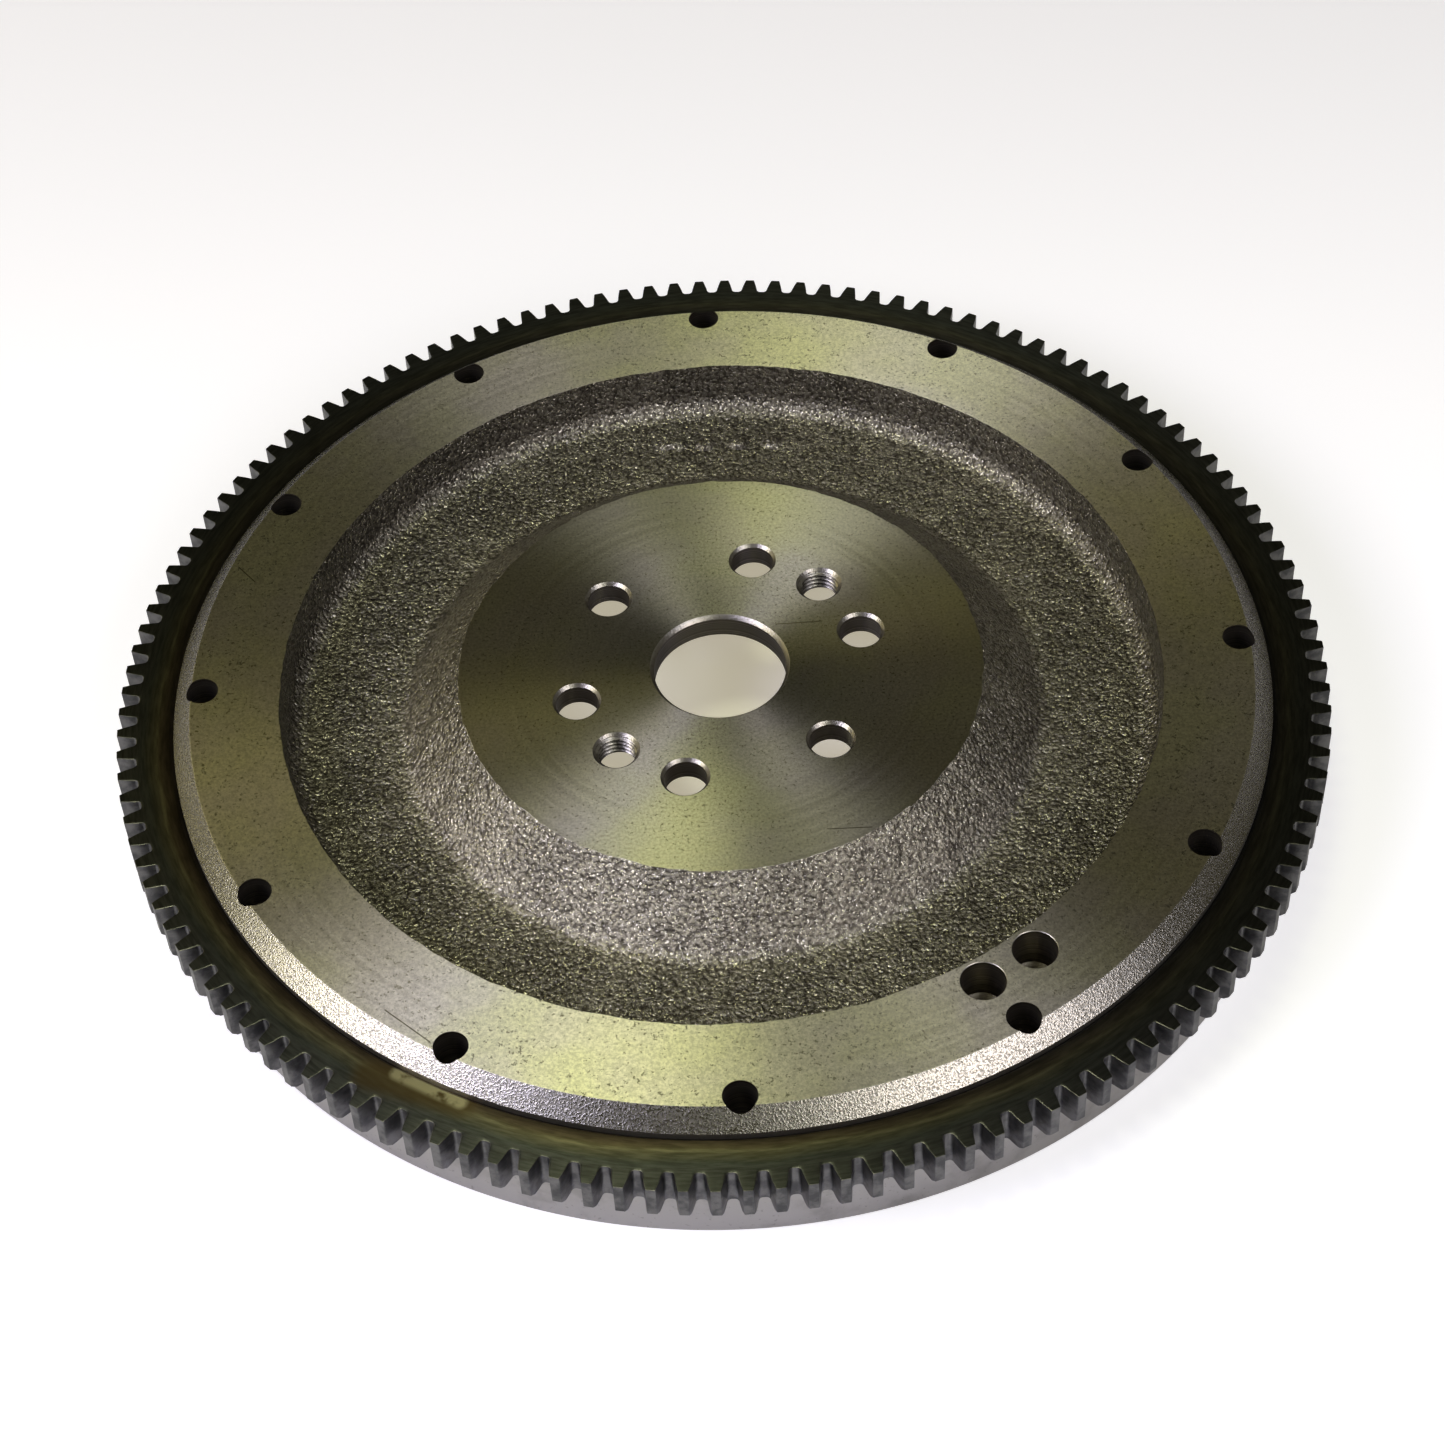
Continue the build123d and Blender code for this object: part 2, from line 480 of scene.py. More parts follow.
@dataclass(frozen=True)
class TurnedIron(Finish):
    """Fine-turned grey iron with concentric tool marks, graphite specks, an oily olive tint,
    painted shade near the bore and a painted highlight on the rim.
    """

    name: str = "turned_iron"
    colour: Colour = (0.505, 0.495, 0.385)
    grey: Colour = (0.485, 0.460, 0.435)
    speck: Colour = (0.13, 0.12, 0.08)
    roughness: float = 0.43
    anisotropy: float = 0.87
    bore_band: tuple[float, float] = (16.0, 52.0)
    bore_painted_shade: float = 0.60
    worn_roughness: float = 0.20
    web_band: tuple[float, float] = (80.0, 100.0)
    rim_painted_highlight: float = 1.45
    scratches: tuple[tuple[tuple[float, float], tuple[float, float], float], ...] = (
        ((13.7, 12.2), (24.6, 12.4), 0.22), ((22.4, -51.0), (32.2, -51.1), 0.2),
        ((-75.0, -94.9), (-65.2, -103.8), 0.22), ((-115.5, 40.0), (-111.2, 34.7), 0.2),
    )

    def feeds(self, g: Graph, place: Feed) -> dict:
        """The highlight stretches away from the axis, across the tool marks."""
        radius = g.radius(place)
        cloud = g.between(g.noise(place, 0.035, 3.0), 0.35, 0.65)
        colour = g.mix(cloud, self.colour, self.grey)
        # Painted light: the colour is darkened near the bore as painted shade and brightened on the
        # rim as a painted highlight.
        near_bore = g.between(radius, *self.bore_band, self.bore_painted_shade, 1.0)
        painted_light = g.math("MULTIPLY", near_bore, g.between(radius, *self.web_band, 1.0,
                                                         self.rim_painted_highlight))
        colour = g.shade(colour, painted_light)
        grain = g.between(g.noise(place, 1.5, 3.0, 0.7), 0.3, 0.7, 0.74, 1.16)
        colour = g.shade(colour, grain)
        crowd = g.between(g.noise(place, 0.06, 3.0, 0.6), 0.35, 0.65, 0.015, -0.025)
        specks = g.between(g.math("ADD", g.noise(place, 1.05, 3.0, 0.65), crowd), 0.585, 0.665,
                           0.0, 0.8)
        colour = g.mix(specks, colour, self.speck)
        for scratch in self.scratches:
            colour = g.mix(g.scratch(place, *scratch), colour, self.speck)
        rings = g.line_noise(radius, 0.55, 4.0)
        rough = g.between(rings, 0.3, 0.7, self.roughness - 0.02, self.roughness + 0.02)
        rough = g.math("ADD", rough, g.math("MULTIPLY", specks, 0.2))
        rough = g.math("ADD", rough, g.between(radius, *self.bore_band, self.worn_roughness, 0.0))
        normal = g.bump(rings, 0.05, 0.05)
        normal = g.bump(g.noise(place, 1.9, 2.0, 0.6), 0.6, 0.04, normal)
        return {
            "Base Color": colour, "Roughness": rough, "Normal": normal,
            "Anisotropic": self.anisotropy, "Tangent": g.outward(place),
        }


@dataclass(frozen=True)
class ChamferIron(Finish):
    """Coarsely turned iron, torn by the tool into small bright and dark grains."""

    name: str = "chamfer_iron"
    colour: Colour = (0.46, 0.44, 0.415)
    pit: Colour = (0.12, 0.11, 0.10)
    roughness: float = 0.20

    def feeds(self, g: Graph, place: Feed) -> dict:
        """See Finish."""
        grain = g.noise(place, 2.1, 3.0, 0.6)
        pits = g.between(grain, 0.50, 0.42, 0.0, 0.5)
        colour = g.mix(pits, self.colour, self.pit)
        rings = g.line_noise(g.radius(place), 1.1, 3.0)
        normal = g.bump(rings, 0.15, 0.08)
        normal = g.bump(grain, 1.0, 0.13, normal)
        rough = g.between(pits, 0.0, 0.5, self.roughness, 0.4)
        return {
            "Base Color": colour, "Roughness": rough, "Normal": normal,
            "Anisotropic": 0.5, "Tangent": g.outward(place),
        }


@dataclass(frozen=True)
class CastSkin(Finish):
    """As-cast skin of grey iron: sand texture, dark hollows and sparkling grains, with a painted
    highlight on the cone by the hub.
    """

    name: str = "cast_skin"
    colour: Colour = (0.235, 0.220, 0.198)
    hollow: Colour = (0.080, 0.072, 0.066)
    bright: Colour = (0.66, 0.64, 0.59)
    cone_band: tuple[float, float] = (73.0, 84.0)
    cone_painted_highlight: float = 1.65

    def feeds(self, g: Graph, place: Feed) -> dict:
        """See Finish."""
        stir = g.noise(place, 0.8, output="Color")
        lumps = g.grains(g.vector("MULTIPLY_ADD", stir, (0.7, 0.7, 0.7), place), 0.95)
        sand = g.math("SUBTRACT", g.noise(place, 1.3, 3.0, 0.6), g.math("MULTIPLY", lumps, 0.8))
        colour = g.mix(g.between(sand, -0.12, 0.30), self.hollow, self.colour)
        cloud = g.between(g.noise(place, 0.05, 3.0), 0.35, 0.65, 0.82, 1.1)
        # Painted highlight: the colour is brightened within 73 to 84 mm of the axis, over the cone
        # by the hub.
        cone_highlight = g.between(g.radius(place), *self.cone_band, self.cone_painted_highlight, 1.0)
        colour = g.shade(colour, g.math("MULTIPLY", cloud, cone_highlight))
        sparks = g.between(g.noise(place, 1.7, 2.0, 0.5), 0.56, 0.64)
        colour = g.mix(sparks, colour, self.bright)
        rough = g.between(sparks, 0.0, 1.0, 0.42, 0.20)
        normal = g.bump(sand, 1.0, 0.37)
        return {"Base Color": colour, "Roughness": rough,
                "Normal": g.bump(g.noise(place, 2.6, 2.0, 0.6), 0.6, 0.08, normal)}


@dataclass(frozen=True)
class LandIron(Finish):
    """Smoothly turned iron of the land and the clutch side, with faint stains."""

    name: str = "land_iron"
    colour: Colour = (0.52, 0.505, 0.485)
    stain: Colour = (0.30, 0.285, 0.265)
    roughness: float = 0.42

    def feeds(self, g: Graph, place: Feed) -> dict:
        """The tool marks run round the axis."""
        stains = g.between(g.noise(place, 0.09, 4.0, 0.6), 0.50, 0.72, 0.0, 0.55)
        colour = g.mix(stains, self.colour, self.stain)
        specks = g.between(g.noise(place, 1.1, 2.0), 0.64, 0.72, 0.0, 0.6)
        colour = g.mix(specks, colour, self.stain)
        height = g.axes(place)[2]
        marks = g.line_noise(g.math("ADD", height, g.radius(place)), 1.4, 3.0)
        return {"Base Color": colour, "Roughness": self.roughness,
                "Normal": g.bump(marks, 0.25, 0.04)}


@dataclass(frozen=True)
class DrilledIron(Finish):
    """Walls of the holes: dark, partly painted shade inside the holes, with the drill's rings."""

    name: str = "drilled_iron"
    # Darker than the turned faces: partly the drilled iron's own tone, partly painted shade inside
    # the holes.
    colour: Colour = (0.29, 0.262, 0.24)
    dark: Colour = (0.13, 0.115, 0.104)
    roughness: float = 0.42

    def feeds(self, g: Graph, place: Feed) -> dict:
        """See Finish."""
        height = g.axes(place)[2]
        rings = g.line_noise(height, 2.0, 3.0)
        colour = g.mix(g.between(rings, 0.3, 0.7), self.dark, self.colour)
        return {"Base Color": colour, "Roughness": self.roughness,
                "Normal": g.bump(rings, 0.5, 0.06)}


@dataclass(frozen=True)
class BrightEdge(Finish):
    """Countersinks and the bore's chamfer: freshly cut, silvery, with chatter marks."""

    name: str = "bright_edge"
    colour: Colour = (0.34, 0.32, 0.30)
    roughness: float = 0.34

    def feeds(self, g: Graph, place: Feed) -> dict:
        """See Finish."""
        grain = g.noise(place, 1.6, 3.0, 0.6)
        colour = g.mix(g.between(grain, 0.52, 0.68, 0.0, 0.6), self.colour, (0.2, 0.19, 0.16))
        return {"Base Color": colour, "Roughness": self.roughness,
                "Normal": g.bump(grain, 0.8, 0.10)}


@dataclass(frozen=True)
class TappedIron(Finish):
    """Thread of the puller holes: bright flanks, random dirt, and painted shade in the grooves."""

    name: str = "tapped_iron"
    colour: Colour = (0.32, 0.30, 0.28)
    dirt_and_groove_shade: Colour = (0.035, 0.031, 0.027)
    roughness: float = 0.34
    hole: tuple[float, float, float] = (24.57, 24.57, 0.0)
    crest_radius: float = 4.45
    groove_radius: float = 4.85

    def feeds(self, g: Graph, place: Feed) -> dict:
        """See Finish."""
        grain = g.noise(place, 1.4, 3.0, 0.6)
        colour = g.mix(g.between(grain, 0.5, 0.65, 0.0, 0.7), self.colour, self.dirt_and_groove_shade)
        # Painted shade: the colour darkens from the thread's crest out to its groove.
        from_axis = g.radius(g.vector("SUBTRACT", g.vector("ABSOLUTE", place), self.hole))
        painted_groove_shade = g.between(from_axis, self.crest_radius, self.groove_radius, 0.0, 0.9)
        colour = g.mix(painted_groove_shade, colour, self.dirt_and_groove_shade)
        return {"Base Color": colour, "Roughness": self.roughness,
                "Normal": g.bump(grain, 0.4, 0.04)}


@dataclass(frozen=True)
class HeatTintedSteel(Finish):
    """Ring gear's face: dark steel whose oxide colours follow the heat of the shrink fit."""

    name: str = "heat_tinted_steel"
    bore_radius: float = 128.4
    root_radius: float = 137.25
    roughness: float = 0.40
    hottest: tuple[float, float, float] = (-0.60, -0.80, 0.0)
    plain: Colour = (0.046, 0.048, 0.050)
    straw: tuple[tuple[float, float], tuple[float, float], float] = (
        (-72.5, -108.2), (-59.0, -116.3), 2.3)
    straw_colour: Colour = (0.34, 0.31, 0.20)
    burnt: Colour = (0.075, 0.052, 0.022)
    halo_lead: float = 6.0
    halo_width: float = 5.5

    def feeds(self, g: Graph, place: Feed) -> dict:
        """The colour runs from the hot bore out to the cooler teeth."""
        radius = g.radius(place)
        drift = g.math("MULTIPLY", g.math("SUBTRACT", g.noise(place, 0.045, 3.0), 0.5), 3.2)
        share = g.between(g.math("ADD", radius, drift), self.bore_radius, self.root_radius)
        colour = g.ramp(share, [
            (0.00, (0.020, 0.016, 0.012)), (0.14, (0.070, 0.055, 0.038)),
            (0.30, (0.095, 0.080, 0.050)), (0.42, (0.155, 0.145, 0.090)),
            (0.52, (0.096, 0.091, 0.060)), (0.72, (0.080, 0.080, 0.060)),
            (0.88, (0.064, 0.070, 0.064)), (1.00, (0.062, 0.065, 0.063)),
        ])
        side = g.vector("DOT_PRODUCT", g.outward(place), self.hottest, output="Value")
        colour = g.mix(g.between(side, -0.1, 0.85, 0.30, 1.0), self.plain, colour)
        streak = g.between(g.streaks(place, 22.0, 1.3, 4.0), 0.3, 0.7, 0.7, 1.3)
        colour = g.shade(colour, streak)
        broken = g.between(g.noise(place, 0.20, 3.0, 0.55), 0.34, 0.50)
        straw = g.math("MULTIPLY", g.scratch(place, *self.straw), broken)
        start, end, _ = self.straw
        halo = g.scratch(place, (start[0] - self.halo_lead, start[1]), end, self.halo_width)
        colour = g.mix(g.math("MULTIPLY", halo, 0.75), colour, self.burnt)
        colour = g.mix(straw, colour, self.straw_colour)
        rings = g.line_noise(radius, 1.0, 4.0)
        normal = g.bump(rings, 0.25, 0.05)
        normal = g.bump(g.noise(place, 1.2, 3.0), 0.3, 0.04, normal)
        return {
            "Base Color": colour, "Roughness": self.roughness, "Normal": normal,
            "Anisotropic": 0.6, "Tangent": g.outward(place),
        }


@dataclass(frozen=True)
class ToothSteel(Finish):
    """Teeth: hobbed and hardened steel, grey with a bluish cast."""

    name: str = "tooth_steel"
    colour: Colour = (0.20, 0.197, 0.20)
    dark: Colour = (0.085, 0.085, 0.09)
    roughness: float = 0.36

    def feeds(self, g: Graph, place: Feed) -> dict:
        """See Finish."""
        blotch = g.between(g.noise(place, 0.25, 4.0, 0.6), 0.35, 0.65)
        colour = g.mix(blotch, self.dark, self.colour)
        marks = g.line_noise(g.axes(place)[2], 1.2, 3.0)
        return {"Base Color": colour, "Roughness": self.roughness,
                "Normal": g.bump(marks, 0.3, 0.05)}


# -------- the disc


@dataclass
class HoleSet:
    """Holes of one kind in the disc."""

    name: str
    circle: float
    angles: list[float]
    radius: float
    mouth: float

    def centres(self) -> Array:
        """Where the holes stand, as an N x 2 array."""
        return on_circles(self.circle, np.radians(self.angles))


@dataclass
class FlywheelDisc:
    """The cast iron disc: turned hub and rim, cast web between them, and all its holes."""

    bore_radius: float = 15.5
    bore_chamfer: float = 0.9
    hub_radius: float = 61.4
    hub_underside: float = -6.2
    cone_foot: float = 75.6
    web_floor: float = -13.8
    wall_foot: float = 102.604
    rim_inner: float = 103.1
    rim_face: float = 0.4
    chamfer_inner: float = 124.0
    chamfer_foot: float = -3.6
    seat_radius: float = 128.4
    seat_floor: float = -14.4
    disc_radius: float = 135.8
    clutch_face: float = -29.2
    friction_inner: float = 72.0
    friction_outer: float = 115.0
    relief_width: float = 2.0
    relief_depth: float = 0.8
    recess_radius: float = 54.87
    recess_corner: float = -22.85
    recess_fillet: float = 3.0
    wall_fillet: float = 5.0
    cone_fillet: float = 5.0
    edge_round: float = 0.16
    skin_step: float = 0.86
    skin_octaves: tuple[tuple[float, float, int], ...] = (
        (0.13, 5.2, 11), (0.15, 2.6, 12), (0.09, 1.5, 13))
    thread_pitch: float = 1.25
    thread_depth: float = 0.675
    thread_flat: float = 0.12
    drilling_depth: float = 11.0
    drill_point: float = 3.0
    columns: int = 600
    tally_radius: float = 89.1
    tally_angle: float = 88.0
    tally_height: float = 1.1
    crank: HoleSet = field(default_factory=lambda: HoleSet(
        "crank", 34.75, [15, 75, 138, 195, 255, 315], 5.0, 5.7))
    puller: HoleSet = field(default_factory=lambda: HoleSet(
        "puller", 34.75, [45, 225], 4.325, 5.5))
    cover: HoleSet = field(default_factory=lambda: HoleSet(
        "cover", 121.5, [30.0 * step for step in range(12)], 3.85, 3.85))
    balance: HoleSet = field(default_factory=lambda: HoleSet(
        "balance", 109.1, [-53.5, -60.9], 5.0, 5.0))

    def section(self) -> Array:
        """Closed section of the casting, anticlockwise in radius and height.

        Returns:
            N x 2 array. The cast skin has points every skin_step, the turned faces only where
            they bend.
        """
        fine = self.edge_round
        relief_floor = self.clutch_face + self.relief_depth
        relief_end = self.friction_outer + self.relief_width
        corners = [
            (self.bore_radius, self.hub_underside, fine),
            (self.recess_radius, self.hub_underside, self.recess_fillet),
            (self.friction_inner, self.recess_corner, fine),
            (self.friction_inner, self.clutch_face, fine),
            (self.friction_outer, self.clutch_face, fine),
            (self.friction_outer, relief_floor, 0.0),
            (relief_end, relief_floor, 0.0),
            (relief_end, self.clutch_face, fine),
            (self.disc_radius - 0.5, self.clutch_face, fine),
            (self.disc_radius, self.clutch_face + 0.5, fine),
            (self.disc_radius, self.seat_floor, fine),
            (self.seat_radius, self.seat_floor, 0.0),
            (self.seat_radius, self.chamfer_foot, fine),
            (self.chamfer_inner, self.rim_face, 2.5 * fine),
            (self.rim_inner, self.rim_face, fine),
            (self.wall_foot, self.web_floor, self.wall_fillet),
            (self.cone_foot, self.web_floor, self.cone_fillet),
            (self.hub_radius, 0.0, fine),
            (self.bore_radius + self.bore_chamfer, 0.0, 0.06),
            (self.bore_radius, -self.bore_chamfer, 0.06),
        ]
        path = rounded_path(corners, 2)
        following = np.roll(path, -1, axis=0)
        middle = (path + following) / 2
        cast_top = (middle[:, 0] > self.hub_radius - 0.1) & (middle[:, 0] < self.rim_inner + 0.05)
        cast_top &= (middle[:, 1] > self.web_floor - 0.1) & (middle[:, 1] < self.rim_face - 0.1)
        return subdivided(path, np.where(cast_top, self.skin_step, 60.0))

    def tally(self, x: Array, y: Array) -> Array:
        """Height of the foundry tally: a bar and three pips with soft sides.

        The height falls from tally_height to 0 over 0.8 mm at the outline of each mark. A mark's
        distance is that of a point from its middle line, less half its width.
        """
        turn = radians(self.tally_angle)
        along = x * np.sin(turn) - y * np.cos(turn)
        across = x * np.cos(turn) + y * np.sin(turn) - self.tally_radius
        height = np.zeros_like(x)
        for middle, half_length, half_width in ((-12.75, 2.2, 1.3), (-4.25, 0, 2.0), (4.25, 0, 2.0),
                                                (12.75, 0, 2.0)):
            off_end = np.maximum(np.abs(along - middle) - half_length, 0)
            distance = np.hypot(off_end, across) - half_width
            height = np.maximum(height, 1 - smooth_step(-0.40, 0.40, distance))
        return self.tally_height * height

    def cast_share(self, section: Array) -> Array:
        """How far each point of the section is cast skin, from 0 to 1."""
        radius, height = section.T
        top = (radius > self.hub_radius - 0.4) & (radius < self.rim_inner + 0.4)
        top &= height > self.web_floor - 1.0
        inside = top & (height < self.rim_face - 0.05) & ~((radius < 70) & (height > -0.05))
        return inside.astype(float)

    def skin(self) -> Object:
        """The whole casting before its holes.

        Point (i, j) is section point i turned by j steps. On the cast web it moves along the
        section's normal by the sum of three octaves of value noise, and the tally lifts it. The
        edges that the lathe cut through the skin move with it in their own plane.
        """
        section = self.section()
        share = self.cast_share(section)
        normal = right_of(np.roll(section, -1, axis=0) - np.roll(section, 1, axis=0))
        hub_edge = (np.abs(section[:, 0] - self.hub_radius) < 0.3) & (section[:, 1] > -0.3)
        rim_edge = (np.abs(section[:, 0] - self.rim_inner) < 0.3) & (section[:, 1] > 0.1)
        normal[hub_edge], normal[rim_edge] = (1.3, 0.0), (-1.0, 0.0)
        share = np.where(hub_edge | rim_edge, 1.0, share)
        radius = np.repeat(section[:, :1], self.columns, axis=1)
        height = np.repeat(section[:, 1:], self.columns, axis=1)
        points = turned_points(radius, height)
        rough = sum(rise * value_noise(points, cell, seed)
                    for rise, cell, seed in self.skin_octaves)
        rough = rough.reshape(radius.shape) * share[:, None]
        floor = np.isclose(section[:, 1], self.web_floor)[:, None]
        x, y = points[:, :2].T.reshape(2, *radius.shape)
        rough = rough + np.where(floor, self.tally(x, y), 0.0)
        points = turned_points(radius + rough * normal[:, :1], height + rough * normal[:, 1:])
        return mesh_object("flywheel_casting", points, loop_faces(*radius.shape))

    def thread_cutter(self, centre: Array) -> Object:
        """Cutter of a tapped hole.

        Its radius is the larger of the mouth's 45 degree cone and the thread. The thread's wave
        is |2 * phase - 1|, where phase is height / pitch less the share of a turn, modulo 1. The
        wave is held between flat and 1 - flat, and it rises from the core to the thread's depth.
        """
        rows, columns, lip = 78, 48, 0.3
        flat = self.thread_flat
        height = np.linspace(self.hub_underside - 1.0, 1.0, rows)
        share = np.arange(columns) / columns
        phase = (height[:, None] / self.thread_pitch - share[None, :]) % 1.0
        wave = np.clip(np.abs(2 * phase - 1), flat, 1 - flat)
        thread = self.puller.radius + self.thread_depth * (wave - flat) / (1 - 2 * flat)
        cone = self.puller.mouth + height[:, None]
        radius = np.maximum(thread, np.minimum(cone, self.puller.mouth + lip))
        section = np.stack([np.zeros_like(height), height], axis=1)
        return turned_solid("thread_cutter", section, columns, centre, radius)

    def cutters(self) -> list[Object]:
        """One closed solid for each hole, standing in its place."""
        crank, cover, balance = self.crank, self.cover, self.balance
        under, deep, face = self.hub_underside, self.clutch_face, self.rim_face
        past, above, bevel, wide_bevel, burr, middle = 1.0, 1.5, 0.3, 0.6, 0.12, 0.02
        floor = face - self.drilling_depth
        sections = (
            (crank, [(crank.radius + bevel, under - past), (crank.radius + bevel, under),
                     (crank.radius, under + bevel), (crank.radius, crank.radius - crank.mouth),
                     (crank.mouth, 0.0), (crank.mouth, past)], 64),
            (cover, [(cover.radius + wide_bevel, deep - past), (cover.radius + wide_bevel, deep),
                     (cover.radius, deep + wide_bevel), (cover.radius, self.chamfer_foot - past),
                     (cover.radius, above)], 48),
            (balance, [(middle, floor - self.drill_point), (balance.radius, floor),
                       (balance.radius, face - burr), (balance.radius + burr, face),
                       (balance.radius + burr, above)], 56),
        )
        made = [turned_solid(f"{holes.name}_cutter", np.array(section), columns, centre)
                for holes, section, columns in sections for centre in holes.centres()]
        return made + [self.thread_cutter(centre) for centre in self.puller.centres()]

    def cut(self, casting: Object) -> Object:
        """Cut every hole out of the casting, and return the finished mesh's object."""
        cutters = self.cutters()
        with bpy.context.temp_override(active_object=cutters[0], selected_editable_objects=cutters):
            bpy.ops.object.join()
        tool = cutters[0]
        boolean = casting.modifiers.new("holes", "BOOLEAN")
        boolean.operation = "DIFFERENCE"
        boolean.solver = "MANIFOLD"
        boolean.object = tool
        graph = bpy.context.evaluated_depsgraph_get()
        finished = bpy.data.meshes.new_from_object(casting.evaluated_get(graph))
        finished.name = casting.name
        casting.modifiers.remove(boolean)
        casting.data = finished
        bpy.data.objects.remove(tool)
        return casting

    def zones(self, casting: Object) -> Array:
        """Material index of each face, from its middle and from rise, its normal's upward part."""
        faces = casting.data.polygons
        centre, normal = np.empty(len(faces) * 3), np.empty(len(faces) * 3)
        faces.foreach_get("center", centre)
        faces.foreach_get("normal", normal)
        centre, rise = centre.reshape(-1, 3) / MM, normal.reshape(-1, 3)[:, 2]
        radius, height = np.hypot(centre[:, 0], centre[:, 1]), centre[:, 2]
        zone = np.full(len(centre), int(DiscZone.LAND))
        flat = (rise > 0.9) & (height > -0.6)
        web = (radius >= self.hub_radius + 0.2) & (radius <= self.rim_inner - 0.5)
        zone[flat & ~web] = DiscZone.TURNED
        chamfer = (radius > self.chamfer_inner) & (height > self.chamfer_foot - 0.05)
        zone[chamfer & (rise > 0.3) & ~flat] = DiscZone.CHAMFER
        cast = (radius > self.hub_radius) & (radius < self.rim_inner + 0.6) & ~flat
        zone[cast & (height > self.web_floor - 1.5)] = DiscZone.CAST_SKIN
        below = (radius < self.friction_inner - 0.02) & (height < self.hub_underside + 0.02)
        zone[below] = DiscZone.CAST_SKIN
        bore = radius < self.bore_radius + self.bore_chamfer - 0.01
        zone[bore] = DiscZone.DRILLED
        zone[bore & (rise > 0.2)] = DiscZone.BRIGHT_EDGE
        for holes in (self.crank, self.puller, self.cover, self.balance):
            offset = centre[:, None, :2] - holes.centres()
            distance = np.linalg.norm(offset, axis=2).min(axis=1)
            wall = (distance < holes.mouth + 0.04) & (np.abs(rise) < 0.98)
            zone[wall] = DiscZone.THREAD if holes is self.puller else DiscZone.DRILLED
            lip = wall & (rise > 0.3) & (height > -1.3) & (radius < self.hub_radius)
            zone[lip] = DiscZone.BRIGHT_EDGE
            floor = (distance < holes.radius - 0.1) & (height < -2)
            zone[floor & (radius > self.rim_inner)] = DiscZone.DRILLED
        return zone

    def build(self) -> Object:
        """Make the disc, dress it, and let it stand for its CAD node."""
        casting = self.cut(self.skin())
        casting.data.materials.clear()
        for finish in (TurnedIron, ChamferIron, CastSkin, LandIron, DrilledIron, BrightEdge,
                       TappedIron):
            casting.data.materials.append(finish().build())
        casting.data.polygons.foreach_set("material_index", self.zones(casting).astype(np.int32))
        smooth_and_weighted(casting, 28.0)
        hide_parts("flywheel_disc")
        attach(casting, "root")
        return casting


# -------- the ring gear


